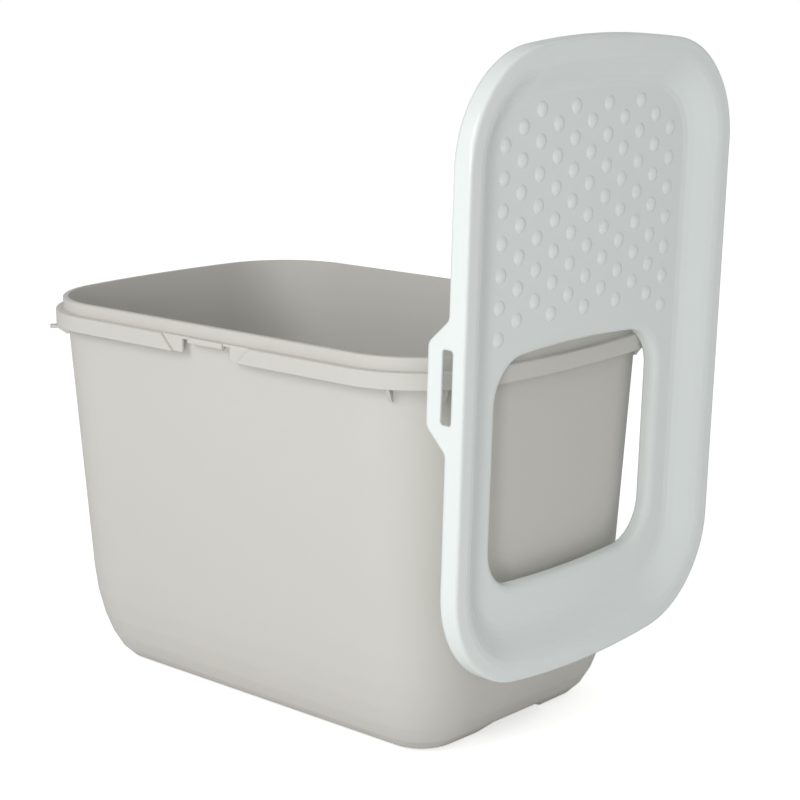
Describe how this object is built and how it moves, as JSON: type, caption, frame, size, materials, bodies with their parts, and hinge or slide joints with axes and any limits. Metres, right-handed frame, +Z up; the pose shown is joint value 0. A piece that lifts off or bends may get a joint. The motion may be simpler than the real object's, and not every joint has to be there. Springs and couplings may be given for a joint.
{
  "type": "top entry litter box",
  "caption": "Deep tapering litter tub with a rounded base and a folded rim, and a loose dished lid with an entry hole and a field of low domes, hung upright on one end by a hook",
  "frame": {"origin": "On the floor, under the middle of the bounding box of the tub with the lid hung on it", "axes": "+X runs along the tub to the end that carries the lid, +Y across it, +Z up"},
  "size_m": [0.6255, 0.388, 0.6724],
  "materials": {
    "tub": "fine matt",
    "lid": "smooth satin"
  },
  "bodies": {
    "tub": {"tub": "tub"},
    "lid": {"lid": "lid"}
  },
  "joints": [
    {"name": "lid_lift", "type": "slide", "parent": "tub", "child": "lid", "axis": [0.2588, 0, 0.9659], "range_m": [0, 0.4]}
  ]
}
